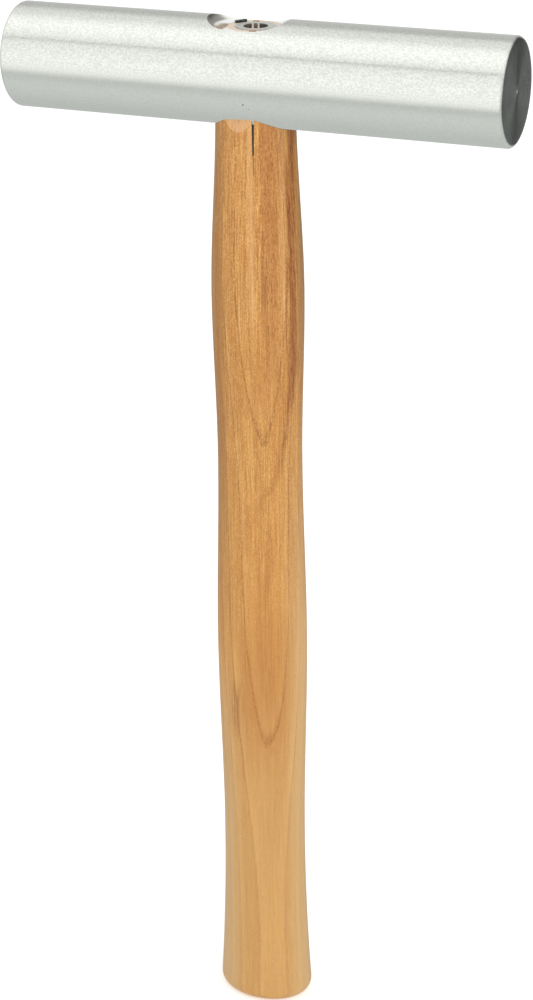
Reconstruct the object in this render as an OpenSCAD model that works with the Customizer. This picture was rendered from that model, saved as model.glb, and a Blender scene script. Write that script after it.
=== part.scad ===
// Soft-metal hand hammer: a solid round aluminium bar across a shaped hickory handle,
// held by a wooden wedge, a steel ring wedge and a small flat steel wedge.
// The origin is at the middle of the butt, below the middle of the bar. +X runs along the bar.

/* [Head] */
// Diameter of the round bar
head_d = 30; // [28:1:36]
// Length of the bar over its two striking faces
head_l = 148; // [120:1:180]
// Rounding of the edge around each striking face
head_edge = 1.2; // [0.4:0.1:2]
// How far the handle's axis lies from the middle of the bar
eye_offset = -1.5; // [-4:0.5:4]
// Diameter of the eye, bored through the bar for the tenon
eye_d = 15.5; // [14:0.5:16]
// Radius of the flat floor of the pocket around the top of the eye
pocket_floor_r = 8.2; // [8.2:0.1:9]
// Radius of the pocket's rounded corner
pocket_corner = 4; // [3:0.5:5]
// Depth of the pocket below the top of the bar
pocket_depth = 2.3; // [1.5:0.1:2.5]
// How far the pocket's middle lies from the eye's
pocket_shift = -1.6; // [-2:0.1:0]

/* [Handle] */
// Height of the whole hammer, from the butt to the top of the bar
overall_h = 320; // [300:5:340]
// Half width of the handle under the head
neck_w = 11.45; // [10.5:0.05:12]
// Half width at the swell below the neck
swell_w = 13.7; // [13:0.05:14.5]
// Half width at the waist
waist_w = 12.85; // [12:0.05:13.5]
// Half width at the palm swell
palm_w = 14.1; // [13.5:0.05:15]
// Half width at the thin part above the butt
thin_w = 13.15; // [12:0.05:14]
// Half width at the butt, before its edge is rounded
butt_w = 15.45; // [14:0.05:17]
// Thickness of the oval handle over its width, under the head
neck_oval = 0.93; // [0.88:0.01:1]
// Thickness over width at the butt
butt_oval = 0.775; // [0.7:0.005:1]
// Rounding of the edge around the butt
butt_edge = 4.2; // [1:0.1:6]

/* [Wedges] */
// Direction of the saw kerf in plan, from the X axis
kerf_turn = 108; // [90:1:135]
// Width of the kerf at the top of the tenon, once the wedge has opened it
kerf_top = 2; // [1.4:0.1:2.4]
// Width of the kerf at its foot
kerf_foot = 0.4; // [0.3:0.05:0.6]
// How far the kerf runs down below the bar's axis
kerf_depth = 21; // [18:1:26]
// Outer diameter of the steel ring wedge
ring_d = 11.5; // [11:0.1:11.8]
// Wall of the ring wedge at its top
ring_wall = 2.3; // [1.6:0.1:2.8]
// How deep the ring wedge is driven in
ring_depth = 8; // [6:1:10]
// Opening between the two bars across the inside of the ring wedge
bar_gap = 1.1; // [0.8:0.1:1.6]
// How far the wood inside the ring lies below the tenon's top
sunk = 1.5; // [0.5:0.1:2.5]
// Width of the flat steel wedge
flat_w = 3.6; // [3:0.1:3.8]
// Thickness of the flat steel wedge at its top
flat_t = 0.9; // [0.6:0.1:1]
// How far the flat steel wedge stands above the tenon
flat_proud = 0.7; // [0.3:0.1:1.2]

/* [Hidden] */
$fn = 96;

head_r = head_d / 2;
eye_r = eye_d / 2;
axis_z = overall_h - head_r;
tenon_top = head_r - pocket_depth;

// Gap left between pieces that are driven together
fit_gap = 0.02;
// How far a cutting shape runs past the piece it cuts
over = 1;

// Half widths down the handle: [distance below the bar's axis, half width]
stations = [
    [8, neck_w],
    [66, swell_w],
    [113, waist_w],
    [178, palm_w],
    [240, thin_w],
    [axis_z, butt_w]
];
last = len(stations) - 1;
// Top of the shaped body, hidden in the bar before the saddle is cut
body_top = 6;
// Sides, rings down the length and rings round the butt's edge
body_sides = 40;
body_rings = 42;
edge_rings = 5;

// The ring wedge and the two bars across it
ring_x = 0.5;
ring_y = -0.3;
ring_tip = 0.25;
ring_proud = 0.15;
bar_t = 0.5;
bar_turn = -68;
bar_depth = 1.2;
// The flat wedge: its place round the tenon, and its driven depth
flat_turn = 147.6;
flat_r = 6.45;
flat_depth = 12;
flat_tip = 0.2;
// The wooden wedge's foot
wedge_foot = -4;
wedge_foot_t = 0.8;

function ease(t) = t * t * (3 - 2 * t);

// Half width at a distance h below the bar's axis: eased between stations, flared at the butt
function half_width(h, i = 0) =
    h <= stations[0][0] ? stations[0][1] :
    i == last - 1 ? mix(i, pow((h - stations[i][0]) / (stations[last][0] - stations[i][0]), 2)) :
    h <= stations[i + 1][0] ? mix(i, ease((h - stations[i][0]) / (stations[i + 1][0] - stations[i][0]))) :
    half_width(h, i + 1);
function mix(i, t) = stations[i][1] + (stations[i + 1][1] - stations[i][1]) * t;

function oval(h) = neck_oval + (butt_oval - neck_oval) * (h - head_r) / (axis_z - head_r);

// One oval ring of the handle, at a distance h below the axis, drawn in by inset
function ring_points(h, inset) = [
    for (k = [0 : body_sides - 1])
        let (a = 360 * k / body_sides, w = half_width(h))
        [(w - inset) * cos(a), (w * oval(h) - inset) * sin(a), -h]
];

// Rings from the top of the body to the butt, the last few round its edge
ring_list = concat(
    [for (i = [0 : body_rings - 1]) [body_top + (axis_z - butt_edge - body_top) * i / (body_rings - 1), 0]],
    [for (i = [1 : edge_rings])
        let (t = 90 * i / edge_rings)
        [axis_z - butt_edge * (1 - sin(t)), butt_edge * (1 - cos(t))]]
);

module shaped_body() {
    n = body_sides;
    count = len(ring_list);
    points = [for (r = ring_list) each ring_points(r[0], r[1])];
    walls = [
        for (i = [0 : count - 2])
            for (k = [0 : n - 1])
                let (a = i * n + k, b = i * n + (k + 1) % n)
                each [[a, b, b + n], [a, b + n, a + n]]
    ];
    cap_top = [for (k = [0 : n - 1]) n - 1 - k];
    cap_butt = [for (k = [0 : n - 1]) (count - 1) * n + k];
    polyhedron(points, concat([cap_top], walls, [cap_butt]));
}

// Quarter circle of points, from angle a0 to a1 about a centre
function arc(x, y, r, a0, a1, n = 8) = [
    for (i = [0 : n]) let (a = a0 + (a1 - a0) * i / n) [x + r * cos(a), y + r * sin(a)]
];

module bar() {
    half = head_l / 2;
    profile = concat(
        [[0, -half]],
        arc(head_r - head_edge, -half + head_edge, head_edge, -90, 0),
        arc(head_r - head_edge, half - head_edge, head_edge, 0, 90),
        [[0, half]]
    );
    rotate([0, 90, 0]) rotate_extrude() polygon(profile);
}

module pocket() {
    profile = concat(
        [[0, tenon_top]],
        arc(pocket_floor_r, tenon_top + pocket_corner, pocket_corner, -90, 0),
        [[pocket_floor_r + pocket_corner, head_r + pocket_corner], [0, head_r + pocket_corner]]
    );
    translate([pocket_shift, 0, 0]) rotate_extrude() polygon(profile);
}

// Moves a piece drawn about the bar's axis and the eye's axis into the hammer
module at_eye() {
    translate([eye_offset, 0, axis_z]) children();
}

// The kerf's outline across its plane: widest at the top, narrowing to its foot
module kerf() {
    top = tenon_top + over;
    outline = [
        [-kerf_top / 2, top],
        [-wedge_foot_t / 2, wedge_foot],
        [-kerf_foot / 2, -kerf_depth],
        [kerf_foot / 2, -kerf_depth],
        [wedge_foot_t / 2, wedge_foot],
        [kerf_top / 2, top]
    ];
    rotate([90, 0, kerf_turn - 90]) linear_extrude(head_d, center = true) polygon(outline);
}

module ring_body() {
    r = ring_d / 2;
    top = tenon_top + ring_proud;
    wall = [[r - ring_wall, top], [r - ring_tip, top - ring_depth], [r, top - ring_depth], [r, top]];
    rotate_extrude() polygon(wall);
    reach = r - 2 * ring_tip;
    rotate([0, 0, bar_turn])
        for (side = [-1, 1])
            translate([-reach, (side * (bar_gap + bar_t) - bar_t) / 2, top - bar_depth])
                cube([2 * reach, bar_t, bar_depth]);
}

module flat_body() {
    outline = [
        [-flat_t / 2, tenon_top + flat_proud],
        [-flat_tip / 2, tenon_top - flat_depth],
        [flat_tip / 2, tenon_top - flat_depth],
        [flat_t / 2, tenon_top + flat_proud]
    ];
    rotate([0, 0, flat_turn])
        translate([flat_r, 0, 0])
            rotate([90, 0, 0]) linear_extrude(flat_w, center = true) polygon(outline);
}

// All that the wood makes room for: the steel wedges, and the crushed top inside the ring
module driven_room() {
    translate([ring_x, ring_y, 0]) {
        ring_body();
        translate([0, 0, tenon_top - sunk]) cylinder(h = sunk + over, r = ring_d / 2 - 2 * ring_tip);
    }
    flat_body();
}

module head() {
    color("silver")
        difference() {
            translate([0, 0, axis_z]) bar();
            at_eye() translate([0, 0, -head_d]) cylinder(h = 2 * head_d, r = eye_r);
            at_eye() pocket();
        }
}

module handle() {
    root = head_r + over;
    color("burlywood")
        at_eye()
            difference() {
                union() {
                    difference() {
                        shaped_body();
                        rotate([0, 90, 0]) cylinder(h = 3 * head_d, r = head_r + fit_gap, center = true);
                    }
                    translate([0, 0, -root]) cylinder(h = root + tenon_top, r = eye_r - fit_gap);
                }
                kerf();
                driven_room();
            }
}

module cross_wedge() {
    color("tan")
        at_eye()
            difference() {
                intersection() {
                    kerf();
                    translate([0, 0, wedge_foot]) cylinder(h = tenon_top - wedge_foot, r = eye_r - fit_gap);
                }
                driven_room();
            }
}

module ring_wedge() {
    color("slategray") at_eye() translate([ring_x, ring_y, 0]) ring_body();
}

module flat_wedge() {
    color("dimgray") at_eye() flat_body();
}

head();
handle();
cross_wedge();
ring_wedge();
flat_wedge();
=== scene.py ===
"""Soft-metal hand hammer: detailed pieces, materials and a pale studio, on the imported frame.

Lengths are in millimetres until a mesh is made. The origin is at the middle of the butt, +X
runs along the bar and +Z up the handle.
"""

import math

import bmesh
import bpy
import numpy as np
from mathutils import Matrix, Vector


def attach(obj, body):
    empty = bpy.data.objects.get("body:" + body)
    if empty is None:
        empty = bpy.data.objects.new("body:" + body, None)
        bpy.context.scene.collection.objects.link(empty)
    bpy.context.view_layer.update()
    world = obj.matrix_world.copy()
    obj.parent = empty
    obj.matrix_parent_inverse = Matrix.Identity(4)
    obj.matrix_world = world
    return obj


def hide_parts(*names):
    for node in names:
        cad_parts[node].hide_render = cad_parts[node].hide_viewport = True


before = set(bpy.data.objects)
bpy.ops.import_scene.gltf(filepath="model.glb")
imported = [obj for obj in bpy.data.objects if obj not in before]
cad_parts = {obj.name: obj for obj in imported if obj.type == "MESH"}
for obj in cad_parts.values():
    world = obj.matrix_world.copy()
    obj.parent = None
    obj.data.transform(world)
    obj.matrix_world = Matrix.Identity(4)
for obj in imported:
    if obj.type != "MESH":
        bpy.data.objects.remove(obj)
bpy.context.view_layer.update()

MM = 0.001

# The CAD source's own sizes
HEAD_R = 15.0
HALF_L = 74.0
HEAD_EDGE = 1.2
EYE_X = -1.5
EYE_R = 7.75
POCKET_X = EYE_X - 1.6
POCKET_FLOOR_R = 8.2
POCKET_CORNER = 4.0
AXIS_Z = 305.0
TENON_TOP = 12.7
FIT_GAP = 0.02
STATIONS = [(8, 11.45), (66, 13.7), (113, 12.85), (178, 14.1), (240, 13.15), (AXIS_Z, 15.45)]
NECK_OVAL = 0.93
BUTT_OVAL = 0.775
BUTT_EDGE = 4.2
KERF_TURN = 108
KERF_TOP = 2.0
KERF_FOOT = 0.4
KERF_DEPTH = 21.0
WEDGE_FOOT = -4.0
WEDGE_FOOT_T = 0.8
RING_AT = (EYE_X + 0.5, -0.3)
RING_R = 5.75
RING_WALL = 2.3
SUNK = 1.5
FLAT_TURN = 147.6
FLAT_R = 6.45
FLAT_W = 3.6
FLAT_T = 0.9
FLAT_TIP = 0.2
FLAT_DEPTH = 12.0
FLAT_PROUD = 0.7
TENON_R = EYE_R - FIT_GAP

# Details that the CAD source doesn't draw
# The centre mark in each striking face: radius and depth
CENTRE_MARK = [(0.05, 0.25), (0.3, 0.15), (0.5, 0.02), (0.65, 0.0)]
# Two small pits in the front of the bar: place along it, height and radius
PITS = [(0.4, 298.9, 0.3), (1.7, 297.6, 0.16)]
# Radius of the rope that is cut along the pocket's rim, and the ease on the wood's top edges
RIM_EASE = 0.08
EASED = 0.12
# A turned cutting shape starts this far from its axis
NEAR_AXIS = 0.02
# The small flat planed off the wood's top edge: direction, tilt, and depth below the bar's axis
SHAVE_TURN = -96
SHAVE_TILT = 14
SHAVE_DEPTH = 14.6

# Where the photograph was taken from, fitted to the bar's outline: degrees and millimetres
VIEW_AZIMUTH = 22.24
VIEW_ELEVATION = 23.62
VIEW_ROLL = -0.69
VIEW_PLACE = (234.1, -571.55, 445.2)
VIEW_LENS = 80.54


# ---------------------------------------------------------------- meshes

def new_object(name, points, faces):
    """A mesh object from points in millimetres, with its normals made consistent."""
    mesh = bpy.data.meshes.new(name)
    mesh.from_pydata([tuple(c * MM for c in p) for p in points], [], faces)
    bm = bmesh.new()
    bm.from_mesh(mesh)
    bmesh.ops.recalc_face_normals(bm, faces=bm.faces)
    bm.to_mesh(mesh)
    bm.free()
    obj = bpy.data.objects.new(name, mesh)
    bpy.context.scene.collection.objects.link(obj)
    return obj


def stack(name, rings, closed=True):
    """Skins a list of equal rings. Both ends are closed with a fan, or the last joins the first."""
    count = len(rings[0])
    points = [tuple(p) for ring in rings for p in ring]
    faces = []
    pairs = len(rings) - 1 if closed else len(rings)
    for i in range(pairs):
        j = (i + 1) % len(rings)
        for k in range(count):
            m = (k + 1) % count
            faces.append((i * count + k, i * count + m, j * count + m, j * count + k))
    if closed:
        for i in (0, len(rings) - 1):
            middle = len(points)
            points.append(tuple(np.mean(rings[i], axis=0)))
            for k in range(count):
                faces.append((middle, i * count + k, i * count + (k + 1) % count))
    return new_object(name, points, faces)


def arc(x, y, r, start, end, n=8):
    turns = [math.radians(start + (end - start) * i / n) for i in range(n + 1)]
    return [(x + r * math.cos(t), y + r * math.sin(t)) for t in turns]


def lathe(name, profile, at, along="Z", sides=96):
    """Turns (radius, distance) points about an axis through a point."""
    rings = []
    for r, d in profile:
        ring = []
        for k in range(sides):
            a = 2 * math.pi * k / sides
            c, s = r * math.cos(a), r * math.sin(a)
            ring.append((at[0] + d, at[1] + c, at[2] + s) if along == "X" else
                        (at[0] + c, at[1] + s, at[2] + d))
        rings.append(ring)
    return stack(name, rings)


def prism(name, outline, length, turn, at):
    """Extrudes an (across, up) outline both ways along a direction in plan, turn degrees from +X."""
    t = math.radians(turn - 90)
    across = (math.cos(t), math.sin(t))
    forward = (-math.sin(t), math.cos(t))
    rings = []
    for end in (-length / 2, length / 2):
        rings.append([(at[0] + across[0] * x + forward[0] * end,
                       at[1] + across[1] * x + forward[1] * end,
                       at[2] + z) for x, z in outline])
    return stack(name, rings)


def cut_out(obj, tool):
    """Cuts tool out of obj, keeps the result as obj's mesh, and removes the tool."""
    mod = obj.modifiers.new("cut", "BOOLEAN")
    mod.operation = "DIFFERENCE"
    mod.solver = "EXACT"
    mod.object = tool
    graph = bpy.context.evaluated_depsgraph_get()
    mesh = bpy.data.meshes.new_from_object(obj.evaluated_get(graph))
    obj.modifiers.clear()
    obj.data = mesh
    bpy.data.objects.remove(tool)


def clean(mesh, size=0.002):
    """Deletes the slivers and doubled faces that cuts leave, and joins points closer than size."""
    bm = bmesh.new()
    bm.from_mesh(mesh)
    bmesh.ops.remove_doubles(bm, verts=bm.verts, dist=size * MM)
    bmesh.ops.dissolve_degenerate(bm, edges=bm.edges, dist=size * MM)
    bmesh.ops.triangulate(bm, faces=[face for face in bm.faces if len(face.verts) > 4])
    groups = {}
    for face in bm.faces:
        groups.setdefault(frozenset(v.index for v in face.verts), []).append(face)
    doubled = [face for group in groups.values() if len(group) > 1 for face in group]
    bmesh.ops.delete(bm, geom=doubled, context="FACES")
    bm.to_mesh(mesh)
    bm.free()


def smooth(obj, degrees):
    """Cleans a mesh and shades it smooth, with every edge sharper than the angle kept crisp."""
    mesh = obj.data
    clean(mesh)
    mesh.shade_smooth()
    mesh.set_sharp_from_angle(angle=math.radians(degrees))


# ---------------------------------------------------------------- head

def pocket_height(r):
    """Height of the pocket's floor and bull-nosed corner, above the bar's axis."""
    if r <= POCKET_FLOOR_R:
        return TENON_TOP
    d = min(r - POCKET_FLOOR_R, POCKET_CORNER)
    return TENON_TOP + POCKET_CORNER - math.sqrt(POCKET_CORNER ** 2 - d * d)


def rim_point(turn):
    """Where the pocket runs out of the bar's surface, in one direction from its middle."""
    low, high = 5.0, POCKET_FLOOR_R + POCKET_CORNER
    for _ in range(40):
        r = (low + high) / 2
        y = r * math.sin(turn)
        if pocket_height(r) < math.sqrt(HEAD_R ** 2 - y * y):
            low = r
        else:
            high = r
    y = low * math.sin(turn)
    return np.array([POCKET_X + low * math.cos(turn), y, math.sqrt(HEAD_R ** 2 - y * y)])


def rim_tool(steps=240, sides=6):
    """A thin closed rope along the pocket's rim, which takes its sharp edge off."""
    rim = [rim_point(2 * math.pi * i / steps) for i in range(steps)]
    rings = []
    for i, p in enumerate(rim):
        along = rim[(i + 1) % steps] - rim[i - 1]
        along = along / np.linalg.norm(along)
        out = np.array([0, p[1], p[2]]) / HEAD_R
        side = np.cross(along, out)
        side = side / np.linalg.norm(side)
        ring = []
        for k in range(sides):
            a = 2 * math.pi * k / sides
            q = p + RIM_EASE * (math.cos(a) * out + math.sin(a) * side)
            ring.append((q[0], q[1], q[2] + AXIS_Z))
        rings.append(ring)
    return stack("rim_tool", rings, closed=False)


def make_head():
    # Half of the bar's profile, from the middle of a striking face to the middle of the bar
    half = [(r, HALF_L - depth) for r, depth in CENTRE_MARK]
    half += [(r, HALF_L) for r in (3, 6, 9, 12)]
    half += [(r, x) for x, r in arc(HALF_L - HEAD_EDGE, HEAD_R - HEAD_EDGE, HEAD_EDGE, 0, 90, 12)]
    half += [(HEAD_R, x) for x in (60, 45, 30)]
    profile = [(r, -x) for r, x in half] + [(HEAD_R, 0)] + [(r, x) for r, x in reversed(half)]
    head = lathe("bar_head", profile, (0, 0, AXIS_Z), along="X", sides=720)

    eye = lathe("eye", [(EYE_R, -20), (EYE_R, 20)], (EYE_X, 0, AXIS_Z), sides=256)
    cut_out(head, eye)
    corner = arc(POCKET_FLOOR_R, TENON_TOP + POCKET_CORNER, POCKET_CORNER, -90, 0, 24)
    top = 20
    pocket = [(NEAR_AXIS, TENON_TOP)] + corner + [(POCKET_FLOOR_R + POCKET_CORNER, top), (NEAR_AXIS, top)]
    cut_out(head, lathe("pocket", pocket, (POCKET_X, 0, AXIS_Z), sides=360))
    cut_out(head, rim_tool())
    smooth(head, degrees=28)
    return head


# ---------------------------------------------------------------- handle

def half_width(h):
    """Half width at a distance below the bar's axis: eased between stations, flared at the butt."""
    if h <= STATIONS[0][0]:
        return STATIONS[0][1]
    for i in range(len(STATIONS) - 1):
        (h0, w0), (h1, w1) = STATIONS[i], STATIONS[i + 1]
        if h <= h1:
            t = (h - h0) / (h1 - h0)
            t = t * t if i == len(STATIONS) - 2 else t * t * (3 - 2 * t)
            return w0 + (w1 - w0) * t
    return STATIONS[-1][1]


def oval(h):
    """Thickness of the grip over its width."""
    return NECK_OVAL + (BUTT_OVAL - NECK_OVAL) * (h - HEAD_R) / (AXIS_Z - HEAD_R)


def body_point(a, h, inset=0.0):
    """A point on the grip, seen from the bar's axis: its angle in plan and its distance below."""
    w = half_width(h)
    return np.array([(w - inset) * math.cos(a), (w * oval(h) - inset) * math.sin(a), -h])


def saddle_height(y):
    """Height of the bar's underside, where the wood sits against it."""
    return -math.sqrt((HEAD_R + FIT_GAP) ** 2 - y * y)


def tenon_rings(turns):
    """The tenon, from the middle of its end down to the saddle."""
    places = [(0.5, TENON_TOP), (4, TENON_TOP), (TENON_R - EASED, TENON_TOP), (TENON_R, TENON_TOP - EASED)]
    places += [(TENON_R, z) for z in (8, 3, -2, -7)]
    return [[(r * math.cos(a), r * math.sin(a), z) for a in turns] for r, z in places]


def grip_starts(turns):
    """How far below the bar's axis the grip's surface meets the bar, in each direction."""
    starts = []
    for a in turns:
        h = HEAD_R
        for _ in range(12):
            h = -saddle_height(body_point(a, h)[1])
        starts.append(h)
    return starts


def saddle_rings(turns, starts):
    """The saddle, from the tenon out to the wood's edge."""
    rings = []
    for share in (0, 0.35, 0.7, 0.97):
        ring = []
        for a, h in zip(turns, starts):
            edge = body_point(a, h)
            x = TENON_R * math.cos(a) * (1 - share) + edge[0] * share
            y = TENON_R * math.sin(a) * (1 - share) + edge[1] * share
            ring.append((x, y, saddle_height(y)))
        rings.append(ring)
    return rings


def grip_rings(turns, starts, rows=230, edge_rows=12):
    """The shaped grip down to the butt's edge, round the edge, and in to the butt's middle."""
    rings = []
    foot = AXIS_Z - BUTT_EDGE
    for i in range(rows):
        t = i / (rows - 1)
        rings.append([body_point(a, h + EASED + (foot - h - EASED) * t) for a, h in zip(turns, starts)])
    for i in range(1, edge_rows + 1):
        t = math.radians(90 * i / edge_rows)
        h = AXIS_Z - BUTT_EDGE * (1 - math.sin(t))
        rings.append([body_point(a, h, BUTT_EDGE * (1 - math.cos(t))) for a in turns])
    edge = rings[-1]
    for share in (0.7, 0.35, 0.05):
        rings.append([(p[0] * share, p[1] * share, p[2]) for p in edge])
    return rings


def make_handle_body(sides=192):
    turns = [2 * math.pi * k / sides for k in range(sides)]
    starts = grip_starts(turns)
    rings = tenon_rings(turns) + saddle_rings(turns, starts) + grip_rings(turns, starts)
    placed = [[(p[0] + EYE_X, p[1], p[2] + AXIS_Z) for p in ring] for ring in rings]
    return stack("hickory_handle", placed)


def kerf_outline():
    """The kerf seen along its plane: widest at the top, narrowing to its foot."""
    top = TENON_TOP + 1
    return [(-KERF_TOP / 2, top), (-WEDGE_FOOT_T / 2, WEDGE_FOOT), (-KERF_FOOT / 2, -KERF_DEPTH),
            (KERF_FOOT / 2, -KERF_DEPTH), (WEDGE_FOOT_T / 2, WEDGE_FOOT), (KERF_TOP / 2, top)]


def flat_outline():
    """The flat wedge seen from its edge."""
    return [(-FLAT_T / 2, TENON_TOP + FLAT_PROUD), (-FLAT_TIP / 2, TENON_TOP - FLAT_DEPTH),
            (FLAT_TIP / 2, TENON_TOP - FLAT_DEPTH), (FLAT_T / 2, TENON_TOP + FLAT_PROUD)]


def flat_place():
    t = math.radians(FLAT_TURN)
    return (EYE_X + FLAT_R * math.cos(t), FLAT_R * math.sin(t), AXIS_Z)


def shave_plane():
    """A point on the small flat planed off the wood's top edge, left of the kerf, and its normal."""
    turn = math.radians(SHAVE_TURN)
    tilt = math.radians(SHAVE_TILT)
    normal = Vector((math.cos(turn) * math.cos(tilt), math.sin(turn) * math.cos(tilt), math.sin(tilt)))
    return Vector(body_point(turn, SHAVE_DEPTH)) + Vector((EYE_X, 0, AXIS_Z)), normal


def shave_tool(half=9, thick=6):
    """A block that stands on the small flat and covers all that was planed off."""
    on, normal = shave_plane()
    basis = normal.to_track_quat("Z", "Y").to_matrix()
    rings = []
    for d in (0, thick):
        corners = [(-half, -half, d), (half, -half, d), (half, half, d), (-half, half, d)]
        rings.append([tuple(on + basis @ Vector(c)) for c in corners])
    return stack("shave", rings)


def make_handle():
    handle = make_handle_body()
    cut_out(handle, shave_tool())
    cut_out(handle, prism("kerf_cut", kerf_outline(), 30, KERF_TURN, (EYE_X, 0, AXIS_Z)))
    room = [(NEAR_AXIS, TENON_TOP - SUNK), (RING_R, TENON_TOP - SUNK),
            (RING_R, TENON_TOP + 1), (NEAR_AXIS, TENON_TOP + 1)]
    cut_out(handle, lathe("ring_room", room, (*RING_AT, AXIS_Z)))
    cut_out(handle, prism("flat_room", flat_outline(), FLAT_W, FLAT_TURN + 90, flat_place()))
    smooth(handle, degrees=35)
    return handle


# ---------------------------------------------------------------- nodes of a material

class Net:
    """A short way to build a node tree: each call adds a node and gives back its output."""

    def __init__(self, tree):
        self.tree = tree

    def node(self, kind, **settings):
        made = self.tree.nodes.new(kind)
        for key, value in settings.items():
            setattr(made, key, value)
        return made

    def feed(self, socket, value):
        if isinstance(value, bpy.types.NodeSocket):
            self.tree.links.new(value, socket)
        else:
            socket.default_value = value

    def math(self, how, a, b=0.0, clamp=False):
        n = self.node("ShaderNodeMath", operation=how, use_clamp=clamp)
        self.feed(n.inputs[0], a)
        self.feed(n.inputs[1], b)
        return n.outputs[0]

    def plus(self, a, b, clamp=False):
        return self.math("ADD", a, b, clamp)

    def minus(self, a, b):
        return self.math("SUBTRACT", a, b)

    def times(self, a, b):
        return self.math("MULTIPLY", a, b)

    def length(self, a, b):
        """The length of a vector with two parts."""
        return self.math("SQRT", self.plus(self.times(a, a), self.times(b, b)))

    def split(self, vector):
        """The three parts of a vector."""
        n = self.node("ShaderNodeSeparateXYZ")
        self.feed(n.inputs[0], vector)
        return tuple(n.outputs)

    def step(self, value, start, end):
        """0 before start, 1 after end, smooth between."""
        n = self.node("ShaderNodeMapRange", interpolation_type="SMOOTHSTEP")
        for name, v in (("Value", value), ("From Min", start), ("From Max", end)):
            self.feed(n.inputs[name], v)
        return n.outputs[0]

    def falling(self, value, start, end):
        """1 before start, 0 after end."""
        return self.minus(1.0, self.step(value, start, end))

    def band(self, value, middle, half, soft):
        """1 near middle, falling to 0 on both sides."""
        away = self.math("ABSOLUTE", self.minus(value, middle))
        return self.falling(away, half, half + soft)

    def dot(self, vector, weights):
        n = self.node("ShaderNodeVectorMath", operation="DOT_PRODUCT")
        self.feed(n.inputs[0], vector)
        n.inputs[1].default_value = weights
        return n.outputs["Value"]

    def stretch(self, vector, weights):
        n = self.node("ShaderNodeVectorMath", operation="MULTIPLY")
        self.feed(n.inputs[0], vector)
        n.inputs[1].default_value = weights
        return n.outputs[0]

    def noise(self, vector, scale=1.0, detail=2.0, rough=0.5):
        n = self.node("ShaderNodeTexNoise")
        self.feed(n.inputs["Vector"], vector)
        n.inputs["Scale"].default_value = scale
        n.inputs["Detail"].default_value = detail
        n.inputs["Roughness"].default_value = rough
        return n.outputs["Fac"]

    def mix(self, share, a, b):
        """Colour a turned into colour b by a share. The node's colours are inputs 6, 7 and output 2."""
        n = self.node("ShaderNodeMix", data_type="RGBA")
        self.feed(n.inputs["Factor"], share)
        self.feed(n.inputs[6], a)
        self.feed(n.inputs[7], b)
        return n.outputs[2]

    def bump(self, height, distance, strength=1.0, under=None):
        n = self.node("ShaderNodeBump")
        self.feed(n.inputs["Height"], height)
        n.inputs["Distance"].default_value = distance
        n.inputs["Strength"].default_value = strength
        if under is not None:
            self.feed(n.inputs["Normal"], under)
        return n.outputs[0]


def srgb(r, g, b):
    """A linear colour from sRGB values of 0 to 255."""
    def one(v):
        v = v / 255
        return v / 12.92 if v <= 0.04045 else ((v + 0.055) / 1.055) ** 2.4
    return (one(r), one(g), one(b), 1.0)


def new_material(name):
    """A material with an empty Principled shader, and its position in millimetres."""
    mat = bpy.data.materials.new(name)
    mat.use_nodes = True
    net = Net(mat.node_tree)
    shader = mat.node_tree.nodes["Principled BSDF"]
    coords = net.node("ShaderNodeTexCoord").outputs["Object"]
    place = net.stretch(coords, (1000, 1000, 1000))
    return mat, net, shader, place


def aluminium():
    mat, net, shader, place = new_material("turned_aluminium")
    x, y, z = net.split(place)
    up = net.minus(z, AXIS_Z)
    on_face = net.step(net.math("ABSOLUTE", x), HALF_L - 0.5, HALF_L - 0.1)
    cut = net.math("SINE", net.times(net.length(up, y), 26.0))

    # Turning marks run round the bar, and a fine speckle lies over them, fainter in the lower half
    turned = net.noise(net.stretch(place, (5, 0.6, 0.6)), detail=3)
    speck = net.noise(net.stretch(place, (1.5, 2.2, 2.2)), detail=3, rough=0.65)
    patch = net.noise(place, scale=0.12, detail=2)
    contrast = net.plus(0.4, net.times(net.step(up, -2, 2), 0.75))
    grains = net.times(net.minus(net.step(speck, 0.35, 0.65), 0.5), contrast)
    colour = net.mix(net.plus(grains, 0.5), srgb(229, 233, 226), srgb(255, 255, 252))
    for pit_x, pit_z, size in PITS:
        away = net.length(net.minus(x, pit_x), net.minus(z, pit_z))
        pit = net.times(net.falling(away, size * 0.5, size), net.falling(y, -2, -1))
        colour = net.mix(pit, colour, srgb(110, 112, 110))

    net.feed(shader.inputs["Base Color"], colour)
    shader.inputs["Metallic"].default_value = 1.0
    rough = net.plus(0.25, net.times(net.plus(speck, patch), 0.04))
    net.feed(shader.inputs["Roughness"], net.minus(rough, net.times(on_face, 0.12)))
    shader.inputs["Anisotropic"].default_value = 1.0
    shader.inputs["Anisotropic Rotation"].default_value = 0.25
    tangent = net.node("ShaderNodeTangent", direction_type="RADIAL", axis="X")
    net.feed(shader.inputs["Tangent"], tangent.outputs[0])
    marks = net.bump(turned, 0.000006, 0.2)
    marks = net.bump(speck, 0.000012, 0.2, under=marks)
    marks = net.bump(net.times(cut, on_face), 0.000006, 0.6, under=marks)
    net.feed(shader.inputs["Normal"], marks)
    return mat


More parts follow.
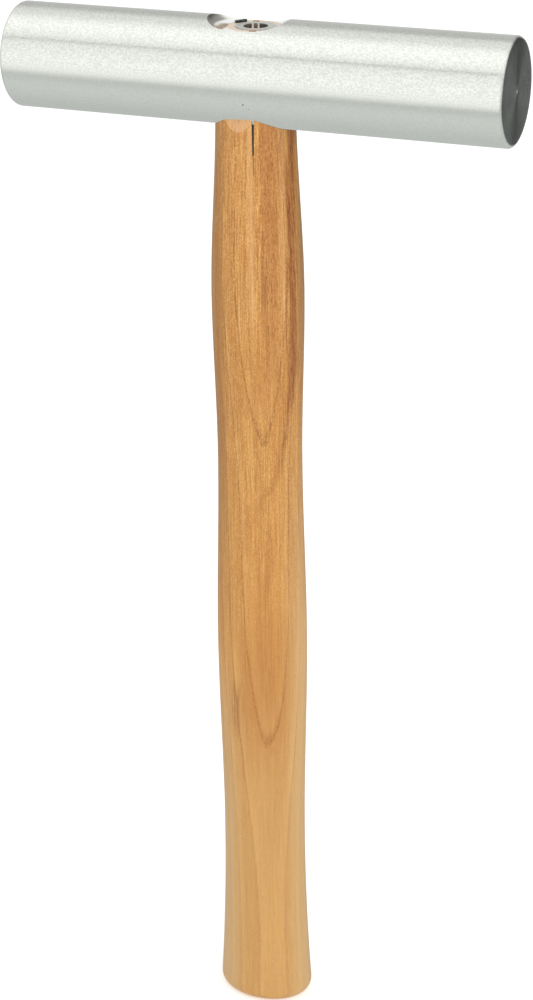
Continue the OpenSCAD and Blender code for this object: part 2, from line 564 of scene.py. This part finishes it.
def milled_aluminium():
    """The pocket and the eye: matt, with round cutter marks about the pocket's middle."""
    mat, net, shader, place = new_material("milled_aluminium")
    x, y, z = net.split(place)
    radius = net.length(net.minus(x, POCKET_X), y)
    ragged = net.noise(place, scale=0.9, detail=3)
    cut = net.math("SINE", net.plus(net.times(radius, 21.0), net.times(ragged, 3.0)))
    speck = net.noise(place, scale=3.0, detail=3)

    # The pocket's wall shines except at the back, and on the left its colour is darkened as painted shade
    floor = AXIS_Z + TENON_TOP
    wall = net.step(z, floor + 0.1, floor + 0.5)
    shiny = net.times(wall, net.minus(1.0, net.step(y, 3.5, 6.0)))
    colour = net.mix(wall, srgb(255, 255, 253), srgb(248, 248, 244))
    colour = net.mix(net.times(speck, 0.2), colour, srgb(190, 192, 186))
    from_eye = net.minus(EYE_X, x)
    # Painted shade: the left part of the shining wall is darkened
    wall_painted_shade = net.times(shiny, net.step(from_eye, 8.0, 10.0))
    colour = net.mix(net.times(wall_painted_shade, 0.7), colour, srgb(150, 148, 138))
    # Painted reflection: the handle's brown wood mirrored in the wall on the left
    wall_painted_wood_reflection = net.times(net.step(from_eye, 6.0, 7.5), net.falling(from_eye, 8.8, 11.4))
    wall_painted_wood_reflection = net.times(wall_painted_wood_reflection, net.falling(y, -0.5, 2.0))
    wall_painted_wood_reflection = net.times(wall_painted_wood_reflection, net.plus(0.5, net.times(ragged, 0.6)))
    colour = net.mix(wall_painted_wood_reflection, colour, srgb(142, 108, 62))

    net.feed(shader.inputs["Base Color"], colour)
    net.feed(shader.inputs["Metallic"], net.plus(0.2, net.times(shiny, 0.8)))
    net.feed(shader.inputs["Roughness"], net.minus(0.5, net.times(wall, 0.12)))
    net.feed(shader.inputs["Normal"], net.bump(cut, 0.000008, 0.5))
    return mat


class Wood:
    """Hickory's grain, and its colour as one tint after another is laid on."""

    def __init__(self, net, place):
        self.net = net
        self.place = place
        self.x, self.y, self.z = net.split(place)
        # Distance from the handle's axis, across the front from left to right
        self.side = net.plus(net.dot(place, (0.927, 0.375, 0.0)), 1.39)
        self.front = net.falling(self.y, -2, -1)

        # Fibres, long in the direction of the grain
        self.fibre = net.noise(net.stretch(place, (1.9, 1.9, 0.06)), detail=5, rough=0.72)
        self.thread = net.noise(net.stretch(place, (3.2, 3.2, 0.13)), detail=3, rough=0.7)
        self.grain = net.noise(net.stretch(place, (3.4, 3.4, 1.5)), detail=1)
        self.streaks = net.noise(net.stretch(place, (0.75, 0.75, 0.012)), detail=3, rough=0.6)
        # The figure is strong under the head and fades towards the butt
        self.vivid = net.plus(0.3, net.step(self.z, 70, 240))

        cloud = net.noise(net.stretch(place, (0.16, 0.16, 0.022)), detail=2)
        self.colour = net.mix(net.step(cloud, 0.3, 0.7), srgb(188, 129, 60), srgb(203, 147, 74))

    def tint(self, mask, share, colour):
        self.colour = self.net.mix(self.net.times(mask, share), self.colour, colour)

    def figure(self, mask, share, colour):
        """A tint that fades with the figure."""
        self.tint(self.net.times(mask, self.vivid), share, colour)

    def lay_ground(self):
        """Redder under the head, paler at the butt, with broad streaks."""
        net = self.net
        self.tint(net.step(self.z, 190, 270), 0.6, srgb(190, 129, 60))
        self.tint(net.falling(self.z, 60, 160), 0.8, srgb(193, 148, 88))
        self.figure(net.step(self.streaks, 0.45, 0.7), 0.15, srgb(168, 106, 48))
        self.figure(net.falling(self.streaks, 0.3, 0.5), 0.12, srgb(226, 176, 108))

    def lay_layers(self, spacing=3.1, start=4.73):
        """Growth layers: sheets faced 22 degrees right of the front and tilted a little."""
        net = self.net
        wander = net.noise(net.stretch(self.place, (0.16, 0.16, 0.02)), detail=3)
        teeth = net.noise(net.stretch(self.place, (1.3, 1.3, 0.2)), detail=1)
        depth = net.dot(self.place, (0.375, -0.927, 0.031))
        depth = net.plus(depth, net.times(net.minus(wander, 0.5), 0.45))
        # The layers bend back a little on both sides, which points their arches
        bend = net.length(net.minus(self.side, 1.0), 0.5)
        depth = net.minus(depth, net.times(net.minus(bend, 0.5), 0.047))
        depth = net.plus(depth, net.times(net.minus(teeth, 0.5), 0.16))
        layer = net.math("FRACT", net.math("DIVIDE", net.minus(depth, start), spacing))

        early = net.plus(net.falling(layer, 0.0, 0.08), net.step(layer, 0.97, 1.0), clamp=True)
        early = net.times(early, net.plus(0.3, net.times(net.step(self.z, 60, 105), 0.7)))
        pale = net.times(net.step(layer, 0.04, 0.12), net.falling(layer, 0.12, 0.5))
        self.tint(net.step(layer, 0.6, 1.0), 0.1, srgb(172, 112, 52))
        self.tint(pale, 0.22, srgb(224, 174, 106))
        dashes = net.plus(0.55, net.times(net.step(self.grain, 0.4, 0.6), 0.45))
        self.tint(net.times(early, dashes), 0.6, srgb(136, 80, 34))
        return early

    def lay_grain(self):
        """Lines and fibres, dark and light in turn, from the finest hairs to short dashes."""
        net = self.net
        # Hair-thin dark and light lines: the edges of an evenly sliced, long-grained noise
        slices = net.noise(net.stretch(self.place, (0.55, 0.55, 0.005)), detail=3)
        slices = net.math("FRACT", net.times(slices, 6.0))
        dark_line = net.times(net.falling(slices, 0.0, 0.2), net.step(self.thread, 0.3, 0.5))
        light_line = net.times(net.band(slices, 0.5, 0.04, 0.1), net.falling(self.thread, 0.46, 0.66))
        self.figure(net.step(self.fibre, 0.46, 0.62), 0.18, srgb(152, 96, 44))
        self.figure(net.falling(self.fibre, 0.34, 0.46), 0.2, srgb(230, 182, 112))
        self.figure(net.step(self.thread, 0.52, 0.66), 0.26, srgb(140, 84, 34))
        self.figure(net.falling(self.thread, 0.32, 0.46), 0.16, srgb(238, 190, 120))
        self.figure(dark_line, 0.42, srgb(138, 80, 34))
        self.figure(light_line, 0.22, srgb(240, 192, 118))
        self.figure(net.step(self.grain, 0.5, 0.66), 0.22, srgb(150, 94, 42))
        self.figure(net.falling(self.grain, 0.34, 0.5), 0.18, srgb(240, 196, 134))

    def lay_streak(self):
        """The painted highlights of soft lights as pale bands under the head, and the dark streak on the
        right of the swell.
        """
        net = self.net
        upper = net.step(self.z, 226, 244)
        # Painted highlights: two pale bands under the head
        self.tint(net.times(net.band(self.side, -1.8, 0.2, 1.4), upper), 0.28, srgb(218, 172, 122))
        self.tint(net.times(net.band(self.side, 7.3, 0.3, 0.8), upper), 0.3, srgb(200, 154, 110))

        ragged = net.plus(self.side, net.times(net.minus(self.streaks, 0.5), 4.0))
        ragged = net.plus(ragged, net.times(net.minus(self.fibre, 0.5), 5.0))
        # The streak runs straight down and curves in to the upper arch's point
        path = net.math("SQRT", net.math("DIVIDE", net.minus(self.z, 181.0), 40.0, clamp=True))
        beside = net.minus(ragged, net.plus(1.2, net.times(path, 8.5)))
        streak = net.times(net.band(beside, 0.0, 0.3, 1.7), net.step(self.z, 165, 218))
        broken = net.plus(0.55, net.times(self.thread, 0.7))
        self.tint(net.times(streak, broken), 0.62, srgb(132, 60, 14))
        core = net.times(net.band(beside, 0.2, 0.05, 0.4), net.step(self.z, 170, 215))
        self.tint(net.times(core, net.step(self.thread, 0.42, 0.54)), 0.7, srgb(104, 44, 14))
        warm = net.times(net.band(ragged, 3.6, 1.0, 3.0), net.step(self.z, 200, 235))
        self.tint(warm, 0.42, srgb(158, 94, 44))
        return streak, warm

    def lay_sides(self):
        """Painted shade and painted sheen at the sides: darker down the left of the upper half and at the
        upper right edge, paler at the lower edges.
        """
        net = self.net
        # Painted shade: the left side of the upper half is darker
        left = net.times(net.falling(self.side, -11.5, -8.5), net.step(self.z, 120, 190))
        self.tint(left, 0.55, srgb(148, 98, 36))
        # Painted shade: the right edge below the head is darker
        edge = net.times(net.step(self.side, 10.6, 12.6), net.step(self.z, 190, 240))
        self.tint(edge, 0.55, srgb(140, 108, 74))
        # Painted sheen: the lower right is paler
        right = net.times(net.step(self.side, 5.0, 13.0), net.falling(self.z, 130, 215))
        self.tint(right, 0.4, srgb(216, 186, 138))
        # Painted sheen: the lower left edge is paler
        lower = net.times(net.falling(self.side, -14, -6), net.falling(self.z, 60, 140))
        self.tint(lower, 0.45, srgb(198, 174, 136))

    def lay_stains(self):
        """Two brown clouds at (height, half height, share), then three ragged stains."""
        net = self.net
        for height, tall, share in ((218, 16, 0.3), (120, 34, 0.4)):
            brown = net.times(net.band(self.side, 0.8, 3.0, 7.5), net.band(self.z, height, 6, tall))
            self.tint(brown, share, srgb(176, 112, 48))
        ragged = net.step(self.fibre, 0.42, 0.58)
        for middle, wide, height, tall, share in ((1.9, 1.8, 246, 9, 0.4), (1.6, 2.6, 118, 16, 0.22),
                                                  (-8.4, 2.6, 108, 13, 0.55)):
            stain = net.times(net.band(self.side, middle, 0.3, wide), net.band(self.z, height, 1, tall))
            self.tint(net.times(stain, ragged), share, srgb(126, 68, 28))

    def lay_pores(self, early, streak, warm):
        """Short dark pores, crowded in the early wood and in the streak."""
        net = self.net
        pore = net.noise(net.stretch(self.place, (4.2, 4.2, 0.5)), detail=2)
        crowded = net.math("MAXIMUM", net.math("MAXIMUM", early, streak), net.times(warm, 0.8))
        pores = net.times(net.step(pore, 0.6, 0.66), net.plus(0.25, net.times(crowded, 0.75)))
        self.figure(pores, 0.5, srgb(112, 60, 26))
        return pores

    def lay_kerf(self):
        """The saw kerf's walls darkened as painted shade, and a hairline crack below it in the kerf's own
        plane.
        """
        net = self.net
        turn = math.radians(KERF_TURN - 90)
        off = net.dot(self.place, (math.cos(turn), math.sin(turn), 0.0))
        off = net.plus(off, -EYE_X * math.cos(turn))
        foot = AXIS_Z - KERF_DEPTH
        opening = (WEDGE_FOOT_T - KERF_FOOT) / 2 / (KERF_DEPTH + WEDGE_FOOT)
        half = net.plus(KERF_FOOT / 2, net.times(net.minus(self.z, foot), opening))
        slot = net.falling(net.minus(net.math("ABSOLUTE", off), half), 0.01, 0.03)
        slot = net.times(slot, net.step(self.z, foot - 0.1, foot))
        # Painted shade: the deep kerf's walls are nearly black
        self.tint(slot, 0.95, srgb(24, 14, 8))
        crack = net.times(net.band(off, 0.0, 0.06, 0.08), net.band(self.z, 282, 2.5, 2.5))
        self.tint(net.times(crack, self.front), 0.8, srgb(56, 34, 20))
        return slot

    def lay_ends(self):
        """Bare, paler wood where the top edge was planed and on the end of the tenon."""
        net = self.net
        on, normal = shave_plane()
        beyond = net.minus(net.dot(self.place, tuple(normal)), on.dot(normal))
        bare = net.times(net.step(beyond, -0.06, -0.02), self.front)
        self.tint(bare, net.plus(0.3, net.times(self.fibre, 0.35)), srgb(222, 178, 136))
        sunk_top = AXIS_Z + TENON_TOP - SUNK
        self.tint(net.step(self.z, sunk_top - 0.2, sunk_top + 0.3), 0.85, srgb(232, 216, 200))
        # Crushed and in shadow, inside the ring wedge
        away = net.length(net.minus(self.x, RING_AT[0]), net.minus(self.y, RING_AT[1]))
        inside = net.times(net.falling(away, RING_R - RING_WALL, RING_R - RING_WALL + 0.3),
                           net.step(self.z, AXIS_Z + 8, AXIS_Z + 10))
        self.tint(inside, 0.9, srgb(44, 30, 22))


def hickory():
    mat, net, shader, place = new_material("hickory")
    wood = Wood(net, place)
    wood.lay_ground()
    early = wood.lay_layers()
    wood.lay_grain()
    streak, warm = wood.lay_streak()
    wood.lay_sides()
    wood.lay_stains()
    pores = wood.lay_pores(early, streak, warm)
    slot = wood.lay_kerf()
    wood.lay_ends()

    net.feed(shader.inputs["Base Color"], wood.colour)
    rough = net.plus(0.36, net.times(wood.fibre, 0.16))
    net.feed(shader.inputs["Roughness"], net.plus(rough, net.times(slot, 0.5), clamp=True))
    shader.inputs["Specular IOR Level"].default_value = 0.35
    shader.inputs["Coat Weight"].default_value = 0.08
    shader.inputs["Coat Roughness"].default_value = 0.28
    marks = net.bump(net.times(pores, -1.0), 0.00006, 0.7)
    marks = net.bump(wood.fibre, 0.00005, 0.5, under=marks)
    net.feed(shader.inputs["Normal"], marks)
    return mat


def wedge_wood():
    mat, net, shader, place = new_material("wedge_wood")
    fibre = net.noise(net.stretch(place, (4, 4, 0.6)), detail=4, rough=0.65)
    colour = net.mix(net.step(fibre, 0.35, 0.65), srgb(196, 148, 98), srgb(150, 102, 62))
    net.feed(shader.inputs["Base Color"], colour)
    net.feed(shader.inputs["Roughness"], net.plus(0.55, net.times(fibre, 0.25)))
    net.feed(shader.inputs["Normal"], net.bump(fibre, 0.0001, 0.6))
    return mat


def wedge_steel(name, light, dark):
    mat, net, shader, place = new_material(name)
    patch = net.noise(place, scale=1.3, detail=4, rough=0.65)
    fine = net.noise(place, scale=9.0, detail=2)
    colour = net.mix(net.step(patch, 0.35, 0.65), light, dark)
    net.feed(shader.inputs["Base Color"], colour)
    shader.inputs["Metallic"].default_value = 1.0
    net.feed(shader.inputs["Roughness"], net.plus(0.32, net.times(patch, 0.3)))
    net.feed(shader.inputs["Normal"], net.bump(fine, 0.00004, 0.5))
    return mat


# ---------------------------------------------------------------- studio

# What the studio shows at each direction round the bar: degrees from level in front, over the
# top, to the back, and brightness. A white canopy, strip lights in front, grey below and behind.
STUDIO = [(-180, 0.78), (-150, 0.54), (-105, 0.57), (-72, 0.65), (-52, 0.68), (-38, 0.62),
          (-32, 0.56), (-27, 0.6), (-21, 0.98), (4, 1.04), (34, 0.95), (43.5, 0.9), (46, 0.3),
          (48.5, 0.84), (57, 0.96), (68, 1.06), (84, 1.12), (97, 1.06), (102, 0.97), (107, 0.83),
          (129, 0.83), (134, 0.56), (142, 0.5), (154, 0.55), (168, 0.6), (180, 0.78)]
STUDIO_STRENGTH = 2.06


def studio_ramp(net, turn):
    """The studio's colour at an angle round the bar, in radians up from level in front."""
    ramp = net.node("ShaderNodeValToRGB")
    net.feed(ramp.inputs[0], net.plus(net.math("DIVIDE", turn, 2 * math.pi), 0.5))
    marks = ramp.color_ramp.elements
    while len(marks) > 1:
        marks.remove(marks[-1])
    for i, (angle, level) in enumerate(STUDIO):
        at = angle / 360 + 0.5
        mark = marks[0] if i == 0 else marks.new(at)
        mark.position = at
        # The ramp holds up to 1, so levels are halved here, and the light's strength makes up for it
        red = 0.485 if angle < -30 else 0.5
        mark.color = (level * red, level * 0.503, level * 0.492, 1.0)
    return ramp.outputs[0]


def make_world():
    world = bpy.data.worlds.new("studio")
    bpy.context.scene.world = world
    world.use_nodes = True
    world.node_tree.nodes.clear()
    net = Net(world.node_tree)
    x, y, z = net.split(net.node("ShaderNodeTexCoord").outputs["Generated"])
    turn = net.math("ARCTAN2", z, net.times(y, -1.0))
    # Except at the far left, the light in front reaches a little lower
    lean = net.times(net.step(x, -0.43, -0.25), net.falling(turn, -0.15, 0.15))
    colour = studio_ramp(net, net.plus(turn, net.times(lean, 0.07)))

    # A dark corner behind on the right, at the head's height, which the right face mirrors
    dark = net.times(net.step(x, 0.02, 0.19), net.step(y, 0.25, 0.6))
    dark = net.times(dark, net.step(z, -0.42, -0.3))
    dark = net.times(dark, net.falling(z, 0.36, 0.52))
    colour = net.mix(dark, colour, (0.028, 0.029, 0.029, 1.0))
    # Grey at both ends of the bar, so that its faces stand out against the white
    ends = net.step(net.math("ABSOLUTE", x), 0.72, 0.92)
    colour = net.mix(net.times(ends, 0.5), colour, (0.22, 0.22, 0.22, 1.0))
    # Plain white to the camera
    seen = net.node("ShaderNodeLightPath").outputs["Is Camera Ray"]
    colour = net.mix(seen, colour, (0.5, 0.5, 0.5, 1.0))
    light = net.node("ShaderNodeBackground")
    net.feed(light.inputs["Color"], colour)
    light.inputs["Strength"].default_value = STUDIO_STRENGTH
    out = net.node("ShaderNodeOutputWorld")
    net.feed(out.inputs["Surface"], light.outputs[0])


def make_floor(size=4000):
    corners = [(-size, -size, 0), (size, -size, 0), (size, size, 0), (-size, size, 0)]
    floor = new_object("floor", corners, [(0, 1, 2, 3)])
    mat, _, shader, _ = new_material("pale_floor")
    shader.inputs["Base Color"].default_value = (0.9, 0.9, 0.9, 1)
    shader.inputs["Roughness"].default_value = 0.9
    shader.inputs["Specular IOR Level"].default_value = 0.0
    shader.inputs["Emission Color"].default_value = (1, 1, 1, 1)
    shader.inputs["Emission Strength"].default_value = 0.35
    floor.data.materials.append(mat)
    floor.visible_glossy = False


def area_light(name, at, toward, size, power):
    data = bpy.data.lights.new(name, "AREA")
    data.shape = "DISK"
    data.size = size * MM
    data.energy = power
    light = bpy.data.objects.new(name, data)
    bpy.context.scene.collection.objects.link(light)
    light.location = Vector(at) * MM
    light.rotation_euler = (Vector(toward) - Vector(at)).to_track_quat("-Z", "Y").to_euler()
    light.visible_glossy = False


def make_camera():
    """Stands where the photograph was taken from: right of the front and above, rolled a little."""
    azimuth, elevation, roll = (math.radians(d) for d in (VIEW_AZIMUTH, VIEW_ELEVATION, VIEW_ROLL))
    back = Vector((math.sin(azimuth) * math.cos(elevation),
                   -math.cos(azimuth) * math.cos(elevation), math.sin(elevation)))
    level = Vector((math.cos(azimuth), math.sin(azimuth), 0))
    upright = back.cross(level)
    right = level * math.cos(roll) + upright * math.sin(roll)
    up = upright * math.cos(roll) - level * math.sin(roll)
    data = bpy.data.cameras.new("camera")
    data.lens = VIEW_LENS
    data.sensor_width = 36
    data.clip_start = 0.01
    data.clip_end = 50
    camera = bpy.data.objects.new("camera", data)
    bpy.context.scene.collection.objects.link(camera)
    place = Matrix((right, up, back)).transposed().to_4x4()
    place.translation = Vector(VIEW_PLACE) * MM
    camera.matrix_world = place
    bpy.context.scene.camera = camera


# ---------------------------------------------------------------- the hammer

def dress(obj, material, slot_name, *nodes):
    """Gives a piece its material and its body, and hides the CAD nodes it stands for. slot_name is not
    used.
    """
    obj.data.materials.clear()
    obj.data.materials.append(material)
    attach(obj, "root")
    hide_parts(*nodes)


def dress_node(name, material):
    """Keeps a CAD node as it is and gives it a material."""
    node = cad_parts[name]
    node.data.materials.clear()
    node.data.materials.append(material)


def dress_milled_faces(head, material):
    """Gives the pocket and the eye, which lie inside the bar's surface, their own material."""
    head.data.materials.append(material)
    for face in head.data.polygons:
        middle = face.center / MM
        inner = math.hypot(middle.y, middle.z - AXIS_Z) < HEAD_R - 0.06
        face.material_index = 1 if inner and abs(middle.x) < HALF_L / 2 else 0


head = make_head()
dress(head, aluminium(), "turned_aluminium", "head")
dress_milled_faces(head, milled_aluminium())
handle = make_handle()
# Mirrored in the bar, the handle would draw an orange streak that the photograph doesn't show
handle.visible_glossy = False
dress(handle, hickory(), "hickory", "handle")
dress_node("cross_wedge", wedge_wood())
dress_node("ring_wedge", wedge_steel("bright_steel", srgb(242, 242, 238), srgb(208, 208, 204)))
# The flat wedge: the same steel painted darker, as painted shade
dress_node("flat_wedge", wedge_steel("steel_painted_shade", srgb(112, 118, 118), srgb(84, 88, 90)))

make_world()
make_floor()
area_light("key", (500, -500, 700), (0, 0, 150), 500, 2.0)
make_camera()
bpy.context.scene.view_settings.view_transform = "Standard"
